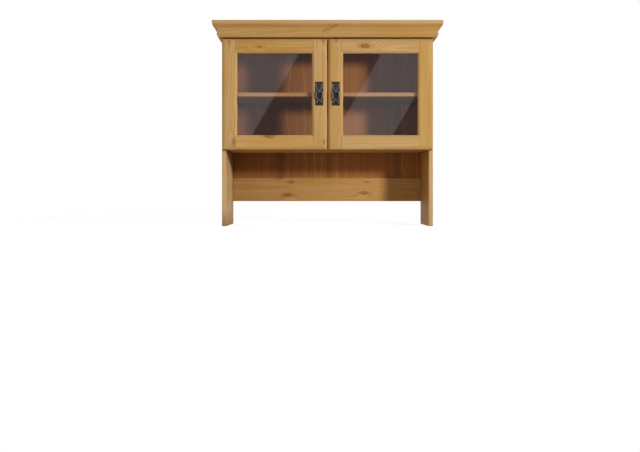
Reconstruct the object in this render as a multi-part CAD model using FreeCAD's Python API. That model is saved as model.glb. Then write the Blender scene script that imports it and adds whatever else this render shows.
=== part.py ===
import FreeCAD, Part
import math
import os

Vector = FreeCAD.Vector

# Two lengths this close count as the same
tolerance = 1e-6

# Carcass, in millimetres: X to the right, Y to the back, Z up, feet on Z = 0
carcass_width = 900.0
carcass_depth = 300.0
total_height = 868.0
board = 18.0
top_thickness = 16.0
shelf_thickness = 17.0
side_arris = 2.0
bottom_height = 326.0
shelf_rise = 1.0
shelf_setback = 2.0
shelf_end_room = 1.0
shelf_arris = 1.5
back_rail_foot = 104.0
back_rail_width = 106.0
top_rail_overlap = 14.0
housing_depth = 6.0
housing_stop = 15.0
housing_room = 0.2
tongue_shoulder = 6.0

# Top board and cornice
core_ahead = 24.0
top_overhang = 36.0
top_upper_arris = 3.0
top_lower_arris = 3.0
cornice_height = 52.0
fillet_offset = 34.0
fillet_foot_height = 47.5
cove_top_offset = 30.5
cove_foot_offset = 15.5
cove_foot_height = 21.0
band_offset = 17.0
band_top_height = 19.0
band_foot_height = 8.0
bed_top_offset = 15.5
bed_foot_offset = 13.0

# Plywood back in its rebate
back_thickness = 5.0
back_rebate_depth = 5.5
back_rebate_width = 9.0
back_edge_room = 0.5
back_overlap = 18.0

# Door frames
door_foot_rise = 1.0
door_head_gap = 6.0
door_inset = 3.0
meeting_gap = 4.0
door_gap = 2.5
door_thickness = 22.0
stile_width = 64.0
rail_width = 60.0
bevel_width = 11.0
bevel_depth = 4.5
rear_arris = 2.0
sticking_width = 7.5
sticking_depth = 6.0
lip_thickness = 11.0
glass_rebate = 9.0
tenon_length = 35.0
tenon_thickness = 8.0
tenon_setback = 1.5
tenon_shoulder = 12.0
mortise_room = 0.1

# Glass and its beads
glass_thickness = 4.0
glass_room = 2.0
bead_width = 8.5
bead_chamfer = 3.5

# Concealed single-pivot hinges, u inward from the side's inner face, v ahead of its front edge
hinge_setback = 92.0
pivot_u = -6.0
pivot_v = 13.0
barrel_radius = 3.5
pin_radius = 1.5
running_room = 0.05
arm_thickness = 3.0
arm_half_height = 7.0
base_half_height = 12.0
base_back = -46.0
base_front = -6.0
neck_foot = -1.0
neck_inner_foot = 0.4
neck_half_thickness = 1.5
arm_screw_places = (-15.0, -37.0)
pocket_inner_u = 5.0
pocket_front_v = 18.0
pocket_room = 0.1
cheek_thickness = 2.5
cheek_room = 0.4
cheek_outer_u = -12.5
cheek_setback = 1.5
web_thickness = 1.2
ear_thickness = 1.5
ear_outer_u = -9.0
ear_reach = 14.0

# Screws as shank radius, length, head radius, head height
screw_room = 0.05
arm_screw = (1.75, 15.0, 3.5, 2.0)
housing_screw = (1.5, 12.0, 2.8, 1.2)

# Shelf pins
pin_peg_radius = 2.5
pin_peg_depth = 9.0
pin_collar_radius = 4.0
pin_collar_length = 2.0
pin_tab_length = 12.0
pin_tab_width = 8.0
pin_tab_thickness = 2.5
shelf_pin_inset = 55.0

# Door catches
magnet_radius = 4.0
magnet_length = 10.0
magnet_proud = 1.2
catch_distance = 33.5
catch_drop = 7.0
strike_width = 18.0
strike_height = 11.0
strike_thickness = 0.8
spike_radius = 0.8
spike_length = 6.0
spike_spacing = 10.0

# Ring handles
handle_distance = 35.0
handle_rise = 2.0
plate_thickness = 2.4
plate_half_width = 17.0
plate_half_height = 51.0
post_rise = 9.0
post_radius = 5.5
post_dome = 2.0
post_shank_radius = 2.0
post_shank_length = 16.0
ring_stand_off = 5.0
ring_bar_radius = 2.2
ring_bore_room = 0.1
ring_half_width = 13.0
ring_corner_radius = 6.5
ring_drop = 36.0
handle_screw_radius = 1.5
handle_screw_length = 14.0
handle_screw_head_radius = 3.0
handle_screw_head_rise = 1.6
handle_screw_place = 45.0

# Values that follow from the ones above
half_width = carcass_width / 2
inner_half = half_width - board
overall_depth = carcass_depth + core_ahead + top_overhang
back = overall_depth / 2
front = back - carcass_depth
core_front = front - core_ahead
top_underside = total_height - top_thickness
cornice_foot = top_underside - cornice_height
back_face = back - back_rebate_depth
back_rail_head = back_rail_foot + back_rail_width
back_foot = back_rail_head - back_overlap
door_foot = bottom_height + door_foot_rise
door_head = cornice_foot - door_head_gap
top_rail_foot = door_head - top_rail_overlap
catch_height = door_head - catch_drop
door_middle = (door_foot + door_head) / 2
handle_height = door_middle + handle_rise
shelf_height = door_middle + shelf_rise - shelf_thickness / 2
shelf_pin_places = (front + shelf_pin_inset, back_face - shelf_pin_inset)
door_outer = half_width - door_inset
door_inner = meeting_gap / 2
door_back = front - door_gap
door_front = door_back - door_thickness
lock_sight = door_inner + stile_width
hinge_sight = door_outer - stile_width
opening_foot = door_foot + rail_width
opening_head = door_head - rail_width
hinge_heights = (door_foot + hinge_setback, door_head - hinge_setback)
pivot_x = inner_half - pivot_u
pivot_y = front - pivot_v
plate_front = door_front - plate_thickness
ring_y = plate_front - ring_stand_off
ring_z = handle_height + post_rise


def prism(points, plane, start, end):
    """Closed polygon in the named plane, drawn out along the third axis from start to end."""
    place = {
        "xy": lambda a, b: Vector(a, b, start),
        "yz": lambda a, b: Vector(start, a, b),
    }[plane]
    along = {"xy": Vector(0, 0, 1), "yz": Vector(1, 0, 0)}[plane]
    corners = [place(a, b) for a, b in points]
    face = Part.Face(Part.makePolygon(corners + corners[:1]))
    return face.extrude(along * (end - start))


def box(x0, x1, y0, y1, z0, z1):
    return Part.makeBox(x1 - x0, y1 - y0, z1 - z0, Vector(x0, y0, z0))


def rod(radius, point, direction, length):
    return Part.makeCylinder(radius, length, point, direction)


def mirrored(shape):
    """The same piece on the other side of the middle plane."""
    return shape.mirror(Vector(0, 0, 0), Vector(1, 0, 0))


def both_sides(pieces):
    return pieces + [mirrored(piece) for piece in pieces]


def rounded(shape, radius, chosen):
    """Fillet every edge for which chosen(middle point of the edge) is true."""
    edges = [edge for edge in shape.Edges if chosen(edge.CenterOfMass)]
    return shape.makeFillet(radius, edges)


def near(value, target):
    return abs(value - target) < tolerance


def screw(point, direction, size, room=0.0):
    """Countersunk screw with its head flush at point; with room it is the hole for one."""
    shank_radius, length, head_radius, head_height = size
    head = Part.makeCone(head_radius + room, shank_radius + room, head_height, point, direction)
    shank = rod(shank_radius + room, point, direction, length + room)
    return head.fuse(shank).removeSplitter()


def export(name, shape):
    """Write one node, as a single solid or as a group of loose solids."""
    pieces = shape if isinstance(shape, list) else [shape]
    solids = [solid for piece in pieces for solid in piece.Solids]
    for solid in solids:
        if not solid.isValid():
            raise ValueError("invalid solid in " + name)
    piece = solids[0] if len(solids) == 1 else Part.makeCompound(solids)
    piece.exportStep("parts/" + name + ".step")


def export_pair(name, shape):
    """Write a right-hand piece and its left-hand twin."""
    export("right_" + name, shape)
    twin = [mirrored(piece) for piece in shape] if isinstance(shape, list) else mirrored(shape)
    export("left_" + name, twin)


# Joints of the carcass

def bottom_tongue(room=0.0):
    """Tongue at the end of the bottom panel, shouldered above and stopped short of the front."""
    return box(inner_half, inner_half + housing_depth + room, front + housing_stop - room, back_face,
               bottom_height, bottom_height + board - tongue_shoulder)


def top_tongue(room=0.0):
    """Tongue along the upper end of the right side, in a groove under the top board."""
    middle = half_width - board / 2
    return box(middle - tenon_thickness / 2, middle + tenon_thickness / 2,
               front + housing_stop - room, back_face - housing_stop + room,
               top_underside, top_underside + housing_depth + room)


def rail_tenons(room=0.0):
    """Stub tenons of the top front rail and the back rail in the right side."""
    reach = inner_half + housing_depth + room
    inset = (board - tenon_thickness) / 2
    y = front + inset
    upper = box(inner_half, reach, y, y + tenon_thickness,
                top_rail_foot + tenon_shoulder, top_underside - tenon_shoulder)
    y = back_face - inset - tenon_thickness
    lower = box(inner_half, reach, y, y + tenon_thickness,
                back_rail_foot + tenon_shoulder, back_foot - tenon_shoulder)
    return [upper, lower]


# Carcass boards

def side_panel():
    panel = box(inner_half, half_width, front, back, 0, top_underside)
    panel = rounded(panel, side_arris, lambda p: near(p.y, front) and near(p.z, top_underside / 2))
    panel = panel.fuse(top_tongue()).removeSplitter()
    rebate = box(inner_half, inner_half + back_rebate_width, back_face, back, back_foot, top_underside)
    joints = [bottom_tongue(housing_room)] + rail_tenons(housing_room)
    holes = arm_screws(screw_room) + [shelf_pin_hole(y) for y in shelf_pin_places]
    return panel.cut([rebate] + joints + holes)


def top_board():
    reach = half_width + top_overhang
    top_front = core_front - top_overhang
    panel = box(-reach, reach, top_front, back, top_underside, total_height)

    def overhangs(p):
        return near(p.y, top_front) or near(abs(p.x), reach)

    panel = rounded(panel, top_lower_arris, lambda p: near(p.z, top_underside) and overhangs(p))
    panel = rounded(panel, top_upper_arris, lambda p: near(p.z, total_height) and overhangs(p))
    return panel.cut(both_sides([top_tongue(housing_room)]))


def bottom_panel():
    panel = box(-inner_half, inner_half, front, back_face, bottom_height, bottom_height + board)
    panel = rounded(panel, shelf_arris, lambda p: near(p.y, front) and near(p.x, 0))
    return panel.fuse(both_sides([bottom_tongue()])).removeSplitter()


def shelf():
    reach = inner_half - shelf_end_room
    shelf_front = front + shelf_setback
    panel = box(-reach, reach, shelf_front, back_face - shelf_end_room,
                shelf_height, shelf_height + shelf_thickness)
    return rounded(panel, shelf_arris, lambda p: near(p.y, shelf_front) and near(p.x, 0))


def back_panel():
    reach = inner_half + back_rebate_width - back_edge_room
    return box(-reach, reach, back_face, back_face + back_thickness, back_foot, top_underside)


def back_rail():
    rail = box(-inner_half, inner_half, back - board, back, back_rail_foot, back_rail_head)
    rebate = box(-inner_half, inner_half, back_face, back, back_foot, back_rail_head)
    tenon_end = rail_tenons()[1]
    return rail.cut(rebate).fuse(both_sides([tenon_end])).removeSplitter()


def top_front_rail():
    rail = box(-inner_half, inner_half, front, front + board, top_rail_foot, top_underside)
    tenon_end = rail_tenons()[0]
    rail = rail.fuse(both_sides([tenon_end])).removeSplitter()
    return rail.cut(both_sides([catch_magnet()]))


def frieze_rail():
    return box(-half_width, half_width, core_front, front, cornice_foot, top_underside)


# Cornice, one profile mitred round the front and both sides

def cornice_face(place):
    """Fillet, cove, band and bed of the moulding; place(offset, height) sets a profile point in space."""
    rise = fillet_foot_height - cove_foot_height
    run = cove_top_offset - cove_foot_offset
    radius = (rise ** 2 + run ** 2) / (2 * run)
    half_rise = rise / 2
    half_run = radius - math.sqrt(radius ** 2 - half_rise ** 2)
    cove_top = place(cove_top_offset, fillet_foot_height)
    cove_middle = place(cove_foot_offset + half_run, cove_foot_height + half_rise)
    cove_foot = place(cove_foot_offset, cove_foot_height)
    above = [(0, cornice_height), (fillet_offset, cornice_height), (fillet_offset, fillet_foot_height)]
    below = [(cove_foot_offset, band_top_height), (band_offset, band_top_height),
             (band_offset, band_foot_height), (bed_top_offset, band_foot_height),
             (bed_foot_offset, 0), (0, 0)]
    points = [cove_foot] + [place(*point) for point in below + above] + [cove_top]
    edges = [Part.makeLine(a, b) for a, b in zip(points, points[1:])]
    edges.append(Part.Arc(cove_top, cove_middle, cove_foot).toShape())
    return Part.Face(Part.Wire(edges))


def cornice_front():
    reach = half_width + top_overhang
    face = cornice_face(lambda o, h: Vector(-reach, core_front - o, cornice_foot + h))
    length = face.extrude(Vector(2 * reach, 0, 0))
    tip = core_front - top_overhang
    plan = [(-half_width, core_front), (half_width, core_front), (reach, tip), (-reach, tip)]
    return length.common(prism(plan, "xy", cornice_foot, top_underside))


def cornice_side():
    reach = half_width + top_overhang
    tip = core_front - top_overhang
    face = cornice_face(lambda o, h: Vector(half_width + o, tip, cornice_foot + h))
    length = face.extrude(Vector(0, back - tip, 0))
    plan = [(half_width, core_front), (half_width, back), (reach, back), (reach, tip)]
    return length.common(prism(plan, "xy", cornice_foot, top_underside))


# Shelf pins

def shelf_pin_hole(y):
    start = Vector(inner_half, y, shelf_height - pin_peg_radius)
    return rod(pin_peg_radius + running_room, start, Vector(1, 0, 0), pin_peg_depth + running_room)


def shelf_pin(y):
    """Peg in the side, collar against its face and a flat tab under the shelf."""
    z = shelf_height - pin_peg_radius
    peg = rod(pin_peg_radius, Vector(inner_half, y, z), Vector(1, 0, 0), pin_peg_depth)
    collar_start = Vector(inner_half - pin_collar_length, y, z)
    collar = rod(pin_collar_radius, collar_start, Vector(1, 0, 0), pin_collar_length)
    room_above = box(inner_half - pin_tab_length, inner_half, y - pin_tab_width, y + pin_tab_width,
                     shelf_height, shelf_height + pin_collar_radius)
    tab = box(inner_half - pin_tab_length, inner_half, y - pin_tab_width / 2, y + pin_tab_width / 2,
              shelf_height - pin_tab_thickness, shelf_height)
    return peg.fuse([collar.cut(room_above), tab]).removeSplitter()


# Door frames

def frame_profile(width):
    """Section across a stile or rail: distance from its outer edge, depth behind its front."""
    return [
        (0, bevel_depth),
        (bevel_width, 0),
        (width - sticking_width, 0),
        (width, sticking_depth),
        (width, lip_thickness),
        (width - glass_rebate, lip_thickness),
        (width - glass_rebate, door_thickness),
        (rear_arris, door_thickness),
        (0, door_thickness - rear_arris),
    ]


def stile(outer_edge, inward):
    """Full-height stile; inward is +1 or -1, the way from its outer edge to the glass."""
    section = [(outer_edge + inward * a, door_front + d) for a, d in frame_profile(stile_width)]
    length = prism(section, "xy", door_foot, door_head)
    ends = [
        (door_front + bevel_depth, door_foot),
        (door_front, door_foot + bevel_width),
        (door_front, door_head - bevel_width),
        (door_front + bevel_depth, door_head),
        (door_back - rear_arris, door_head),
        (door_back, door_head - rear_arris),
        (door_back, door_foot + rear_arris),
        (door_back - rear_arris, door_foot),
    ]
    return length.common(prism(ends, "yz", door_inner, door_outer))


def tenon(shoulder, inward, outer_edge, upward, room=0.0):
    """Tenon of a rail into a stile; upward is the way from the rail's outer edge to the glass."""
    y = door_front + lip_thickness + tenon_setback
    far = shoulder + inward * (tenon_length + room)
    near_z = outer_edge + upward * (tenon_shoulder - room)
    far_z = outer_edge + upward * (rail_width - tenon_shoulder + room)
    return box(min(shoulder, far), max(shoulder, far), y - room, y + tenon_thickness + room,
               min(near_z, far_z), max(near_z, far_z))


def tenons(outer_edge, upward, room=0.0):
    lock_shoulder = lock_sight - glass_rebate
    hinge_shoulder = hinge_sight + glass_rebate
    return [
        tenon(lock_shoulder, -1, outer_edge, upward, room),
        tenon(hinge_shoulder, 1, outer_edge, upward, room),
    ]


def rail(outer_edge, upward):
    """Rail with coped ends that sit over the stiles' moulded edge, and a tenon at each end."""
    section = [(door_front + d, outer_edge + upward * a) for a, d in frame_profile(rail_width)]
    length = prism(section, "yz", lock_sight - stile_width, hinge_sight + stile_width)
    steps = [
        (sticking_width, 0),
        (0, sticking_depth),
        (0, lip_thickness),
        (glass_rebate, lip_thickness),
        (glass_rebate, door_thickness),
    ]
    lock_end = [(lock_sight - a, door_front + d) for a, d in steps]
    hinge_end = [(hinge_sight + a, door_front + d) for a, d in steps]
    coped = length.common(prism(lock_end + hinge_end[::-1], "xy", door_foot, door_head))
    return coped.fuse(tenons(outer_edge, upward)).removeSplitter()


def mortises():
    return tenons(door_head, -1, mortise_room) + tenons(door_foot, 1, mortise_room)


def hinge_stile():
    cuts = mortises() + [hinge_pocket(z) for z in hinge_heights] + housing_screws(screw_room)
    return stile(door_outer, -1).cut(cuts)


def lock_stile():
    cuts = mortises() + handle_holes() + strike_spikes(running_room)
    return stile(door_inner, 1).cut(cuts)


def glass():
    reach = glass_rebate - glass_room
    y = door_front + lip_thickness
    return box(lock_sight - reach, hinge_sight + reach, y, y + glass_thickness,
               opening_foot - reach, opening_head + reach)


def glass_beads():
    """Four strips behind the glass, the upright ones between the level ones."""
    back_edge = door_thickness
    seat = lip_thickness + glass_thickness
    section = [
        (0, seat),
        (bead_width, seat),
        (bead_width, back_edge - bead_chamfer),
        (bead_width - bead_chamfer, back_edge),
        (0, back_edge),
    ]
    x0 = lock_sight - glass_rebate
    x1 = hinge_sight + glass_rebate
    z0 = opening_foot - glass_rebate
    z1 = opening_head + glass_rebate
    lower = prism([(door_front + d, z0 + a) for a, d in section], "yz", x0, x1)
    upper = prism([(door_front + d, z1 - a) for a, d in section], "yz", x0, x1)
    ends = (z0 + bead_width, z1 - bead_width)
    lock_side = prism([(x0 + a, door_front + d) for a, d in section], "xy", *ends)
    hinge_side = prism([(x1 - a, door_front + d) for a, d in section], "xy", *ends)
    return [lower, upper, lock_side, hinge_side]


# Concealed hinges

def hinge_point(u, v):
    return inner_half - u, front - v


def hinge_arm(z):
    """Base plate on the side, neck round its front edge and barrel at the pivot."""
    neck_run = math.hypot(pivot_u, pivot_v)
    side_u = neck_half_thickness * pivot_v / neck_run
    side_v = neck_half_thickness * -pivot_u / neck_run
    neck = [
        (0, base_front),
        (0, neck_foot),
        (pivot_u - side_u, pivot_v - side_v),
        (pivot_u + side_u, pivot_v + side_v),
        (arm_thickness, neck_inner_foot),
        (arm_thickness, base_front),
    ]
    base = [(0, base_back), (0, base_front), (arm_thickness, base_front), (arm_thickness, base_back)]
    base_solid = prism([hinge_point(u, v) for u, v in base], "xy", z - base_half_height, z + base_half_height)
    neck_solid = prism([hinge_point(u, v) for u, v in neck], "xy", z - arm_half_height, z + arm_half_height)
    foot = Vector(pivot_x, pivot_y, z - arm_half_height)
    up = Vector(0, 0, 1)
    barrel = rod(barrel_radius, foot, up, 2 * arm_half_height)
    bore = rod(pin_radius + running_room, foot, up, 2 * arm_half_height)
    arm = base_solid.fuse([neck_solid, barrel]).removeSplitter()
    return arm.cut([bore] + arm_screws(screw_room))


def arm_screws(room=0.0):
    pieces = []
    for z in hinge_heights:
        for place in arm_screw_places:
            x, y = hinge_point(arm_thickness, place)
            pieces.append(screw(Vector(x, y, z), Vector(1, 0, 0), arm_screw, room))
    return pieces


def housing_half_height():
    return arm_half_height + cheek_room + cheek_thickness


def hinge_pocket(z):
    """Recess in the hinge stile for one housing, open at the stile's back and outer edge."""
    x0, y0 = hinge_point(pocket_inner_u, pocket_front_v)
    half = housing_half_height() + pocket_room
    pocket = box(x0, door_outer, y0, door_back, z - half, z + half)
    ear_half = half + ear_reach
    ear_x1 = hinge_point(ear_outer_u, 0)[0]
    ears = box(x0, ear_x1 + pocket_room, door_back - ear_thickness, door_back, z - ear_half, z + ear_half)
    return pocket.fuse(ears)


def hinge_housing(z):
    """Two cheeks, a web ahead of the pivot and an ear above and below, flush with the door's back."""
    inner_x, web_y = hinge_point(pocket_inner_u - pocket_room, pocket_front_v)
    outer_x = hinge_point(cheek_outer_u, 0)[0]
    ear_x1 = hinge_point(ear_outer_u, 0)[0]
    half = housing_half_height()
    back_y = door_back - cheek_setback
    cheeks = []
    ears = []
    for sign in (-1, 1):
        inner_z = z + sign * (half - cheek_thickness)
        outer_z = z + sign * half
        ear_z = z + sign * (half + ear_reach)
        cheeks.append(box(inner_x, outer_x, web_y, back_y, min(inner_z, outer_z), max(inner_z, outer_z)))
        ears.append(box(inner_x, ear_x1, door_back - ear_thickness, door_back,
                        min(inner_z, ear_z), max(inner_z, ear_z)))
    web = box(inner_x, outer_x, web_y, web_y + web_thickness, z - half, z + half)
    bore = rod(pin_radius + running_room, Vector(pivot_x, pivot_y, z - half), Vector(0, 0, 1), 2 * half)
    body = web.fuse(cheeks + ears).removeSplitter()
    return body.cut([bore] + housing_screws(screw_room))


def hinge_pin(z):
    half = housing_half_height()
    return rod(pin_radius, Vector(pivot_x, pivot_y, z - half), Vector(0, 0, 1), 2 * half)


def housing_screws(room=0.0):
    pieces = []
    x = (hinge_point(pocket_inner_u, 0)[0] + hinge_point(ear_outer_u, 0)[0]) / 2
    reach = housing_half_height() + ear_reach / 2
    for z in hinge_heights:
        for sign in (-1, 1):
            start = Vector(x, door_back, z + sign * reach)
            pieces.append(screw(start, Vector(0, -1, 0), housing_screw, room))
    return pieces


# Door catches

def catch_magnet():
    start = Vector(catch_distance, front - magnet_proud, catch_height)
    return rod(magnet_radius, start, Vector(0, 1, 0), magnet_length)


def strike_spikes(room=0.0):
    spikes = []
    for sign in (-1, 1):
        start = Vector(catch_distance + sign * spike_spacing / 2, door_back, catch_height)
        spikes.append(rod(spike_radius + room, start, Vector(0, -1, 0), spike_length + room))
    return spikes


def strike_plate():
    x0 = catch_distance - strike_width / 2
    z0 = catch_height - strike_height / 2
    plate = box(x0, x0 + strike_width, door_back, door_back + strike_thickness, z0, z0 + strike_height)
    return plate.fuse(strike_spikes()).removeSplitter()


# Ring handles

def handle_outline():
    """Slightly waved outline of the handle plate, in shares of its half sizes."""
    end_half = [(0, 0.975), (0.3, 0.99), (0.62, 0.98), (1.0, 1.0)]
    end_points = [(-a, b) for a, b in end_half[:0:-1]] + end_half
    side_points = [(1.0, 1.0), (0.97, 0.9), (0.98, 0.72), (1.0, 0.5), (0.98, 0.28), (0.955, 0.14),
                   (0.985, -0.06), (1.0, -0.28), (0.98, -0.5), (0.95, -0.64), (0.97, -0.82), (1.0, -1.0)]

    def curve(points, flip_x, flip_z):
        spline = Part.BSplineCurve()
        spline.interpolate([
            Vector(handle_distance + flip_x * plate_half_width * a, door_front,
                   handle_height + flip_z * plate_half_height * b) for a, b in points])
        return spline.toShape()

    top = curve(end_points, 1, 1)
    bottom = curve(end_points, 1, -1)
    right = curve(side_points, 1, 1)
    left = curve(side_points, -1, 1)
    return Part.Wire([top, right, bottom, left])


def handle_plate():
    plate = Part.Face(handle_outline()).extrude(Vector(0, -plate_thickness, 0))
    return plate.cut(handle_holes())


def handle_screw_points():
    heights = (handle_height - handle_screw_place, handle_height + handle_screw_place)
    return [Vector(handle_distance, plate_front, z) for z in heights]


def handle_holes():
    """Holes for the post and the two screws, through the plate and into the stile."""
    back_way = Vector(0, 1, 0)
    post = rod(post_shank_radius + screw_room, Vector(handle_distance, plate_front, ring_z), back_way,
               post_shank_length + screw_room)
    screws = [rod(handle_screw_radius + screw_room, point, back_way, handle_screw_length + screw_room)
              for point in handle_screw_points()]
    return [post] + screws


def handle_post():
    """Round post, bored across for the top bar of the ring, with a shank into the stile."""
    out = Vector(0, -1, 0)
    foot = Vector(handle_distance, plate_front, ring_z)
    length = ring_stand_off + ring_bar_radius + post_dome
    straight = length - post_dome
    boss = rod(post_radius, foot, out, straight)
    dome = Part.makeCone(post_radius, post_radius - post_dome, post_dome, foot + out * straight, out)
    shank = rod(post_shank_radius, foot, Vector(0, 1, 0), post_shank_length)
    start = Vector(handle_distance - post_radius, ring_y, ring_z)
    bore = rod(ring_bar_radius + ring_bore_room, start, Vector(1, 0, 0), 2 * post_radius)
    return boss.fuse([dome, shank]).removeSplitter().cut(bore)


def handle_screw(point):
    shank = rod(handle_screw_radius, point, Vector(0, 1, 0), handle_screw_length)
    head_top_radius = handle_screw_head_radius - handle_screw_head_rise
    head = Part.makeCone(handle_screw_head_radius, head_top_radius, handle_screw_head_rise, point,
                         Vector(0, -1, 0))
    return head.fuse(shank).removeSplitter()


def handle_ring():
    """Closed oval ring: straight top bar, rounded shoulders, straight sides, half-round foot."""
    def at(x, z):
        return Vector(handle_distance + x, ring_y, ring_z + z)

    def section(x, z, direction):
        return Part.Face(Part.Wire(Part.makeCircle(ring_bar_radius, at(x, z), direction)))

    flat = ring_half_width - ring_corner_radius
    shoulder = -ring_corner_radius
    low = ring_half_width - ring_drop
    across = Vector(1, 0, 0)
    up = Vector(0, 0, 1)
    turn_axis = Vector(0, 1, 0)
    side_length = shoulder - low
    top_bar = section(-flat, 0, across).extrude(across * (2 * flat))
    pieces = [
        section(flat, 0, across).revolve(at(flat, shoulder), turn_axis, 90),
        section(ring_half_width, low, up).extrude(up * side_length),
        section(ring_half_width, low, up).revolve(at(0, low), turn_axis, 180),
        section(-ring_half_width, low, up).extrude(up * side_length),
        section(-ring_half_width, shoulder, up).revolve(at(-flat, shoulder), turn_axis, 90),
    ]
    return top_bar.fuse(pieces).removeSplitter()


os.makedirs("parts", exist_ok=True)

export_pair("side_panel", side_panel())
export("top_board", top_board())
export("bottom_panel", bottom_panel())
export("shelf", shelf())
export("shelf_pins", both_sides([shelf_pin(y) for y in shelf_pin_places]))
export("back_panel", back_panel())
export("back_rail", back_rail())
export("top_front_rail", top_front_rail())
export("frieze_rail", frieze_rail())
export("cornice_front", cornice_front())
export("cornice_right", cornice_side())
export("cornice_left", mirrored(cornice_side()))
export("catch_magnets", both_sides([catch_magnet()]))
export_pair("hinge_arms", [hinge_arm(z) for z in hinge_heights])
export_pair("hinge_screws", arm_screws())

export_pair("hinge_stile", hinge_stile())
export_pair("lock_stile", lock_stile())
export_pair("top_rail", rail(door_head, -1))
export_pair("bottom_rail", rail(door_foot, 1))
export_pair("glass", glass())
export_pair("glass_beads", glass_beads())
export_pair("hinge_housings", [hinge_housing(z) for z in hinge_heights])
export_pair("hinge_pins", [hinge_pin(z) for z in hinge_heights])
export_pair("housing_screws", housing_screws())
export_pair("strike_plate", strike_plate())
export_pair("handle_plate", handle_plate())
export_pair("handle_post", handle_post())
export_pair("handle_screws", [handle_screw(point) for point in handle_screw_points()])
export_pair("handle_ring", handle_ring())
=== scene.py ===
import math

import bmesh
import bpy
import numpy as np
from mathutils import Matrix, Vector, noise


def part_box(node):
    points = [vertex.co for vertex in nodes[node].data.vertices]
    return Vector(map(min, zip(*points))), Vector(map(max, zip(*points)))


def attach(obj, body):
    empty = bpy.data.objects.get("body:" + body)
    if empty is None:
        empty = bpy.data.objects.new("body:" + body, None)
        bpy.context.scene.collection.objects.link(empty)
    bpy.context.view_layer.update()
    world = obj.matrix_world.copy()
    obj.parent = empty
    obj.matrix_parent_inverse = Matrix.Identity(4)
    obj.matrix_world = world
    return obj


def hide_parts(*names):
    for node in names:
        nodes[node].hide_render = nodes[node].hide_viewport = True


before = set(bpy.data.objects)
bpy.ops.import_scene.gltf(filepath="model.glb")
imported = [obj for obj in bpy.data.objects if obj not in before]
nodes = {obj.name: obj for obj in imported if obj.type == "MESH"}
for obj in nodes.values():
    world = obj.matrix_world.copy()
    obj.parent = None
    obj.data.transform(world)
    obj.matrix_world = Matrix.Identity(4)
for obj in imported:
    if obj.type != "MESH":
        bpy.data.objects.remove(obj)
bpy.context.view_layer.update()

# Camera, in metres, with its axis in pixels of the picture
picture_width = 640
picture_height = 452
focal_pixels = 843.6
axis_row = 192.7
axis_column = 320.3
camera_place = (-0.0306, -3.717, 0.1428)
sensor_width = 36.0

# Light: a small soft lamp at the right front, an even fill, and broad fills from the left front and
# the left rear
key_place = (1.26, -1.47, 0.75)
key_radius = 0.115
key_power = 30.0
fill_even = 0.12
fill_front = 0.62
fill_from = (-0.35, -0.93, 0.1)
fill_rear = 1.1
fill_rear_from = (-0.62, 0.53, 0.58)
fill_spread = 3.0

# What the panes reflect: a dark wall behind the camera with two slanted panels of light
wall_distance = 6.1
wall_colour = (0.240, 0.250, 0.275, 1)
wall_span = ((-1.7, 1.8), (0.5, 2.0))
panel_distance = 6.0
panel_colour = (0.795, 0.810, 0.850, 1)
panel_span = (0.7, 1.8)
panel_slant = 0.58
panel_edges = ((-1.45, -0.265), (0.658, 1.315))
panel_edge_height = 1.708

# Floor
floor_radius = 3.2
floor_fade_start = 1.3
floor_corners = 96
floor_albedo = 0.45
floor_seen = 0.22
floor_glow = 0.885

# Pine: its colours, and the share of each that is laid over the pale early wood
early_wood = (0.600, 0.365, 0.145, 1)
late_wood = (0.455, 0.240, 0.075, 1)
late_share = 0.48
amber_wood = (0.510, 0.270, 0.075, 1)
amber_share = 0.55
knot_wood = (0.190, 0.065, 0.010, 1)
knot_halo = (0.400, 0.170, 0.040, 1)
halo_share = 0.62
fleck_share = 0.35
streak_wood = (0.84, 0.73, 0.55, 1)
streak_half_width = 0.012

# Pine: its pattern, with noise scales along the grain, across it and into the board
rings_per_metre = 185.0
wave_scale = (4.0, 26.0, 26.0)
fibre_scale = (16.0, 560.0, 560.0)
fleck_scale = (75.0, 1100.0, 1100.0)
cloud_scale = (2.6, 13.0, 13.0)
stave_width = 0.075
whole_stave = 1.02
seed_step = 1.37
knot_stretch = 0.58
halo_stretch = 0.30
knot_bend = 1.5
face_turn = (0.3, 0.9)
wood_gloss = 0.03
pine_bump = (0.0006, 0.35)

# Wear, painted highlight, painted shade and dark joints: how open a place is where a mask starts
# and where it is full, and the mask's share
# Pale arrises: partly wear, partly painted highlight
arris_radius = 0.0014
arris_turn = (0.99, 0.86)
arris_wear_and_highlight_share = 0.14
mask_samples = 6
# Painted shade deep in gaps and corners, and the dark joints of the frames, take this colour
seam_and_shade_dark = (0.18, 0.072, 0.008, 1)
crevice_shade_reach = 0.011
crevice_shade_open = (0.74, 0.18)
crevice_shade_share = 0.92
# Painted shade where the left side's inner face is closed in by the pieces round it
recess_shade_reach = 0.13
recess_shade_open = (0.88, 0.38)
recess_shade_share = 0.75
sticking_width = 0.0075
seam_width = 0.0022
seam_share = 0.45
# Painted shade along the right door's edge at the doors' meeting gap
gap_shade_width = 0.017
gap_shade_share = 0.6

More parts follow.
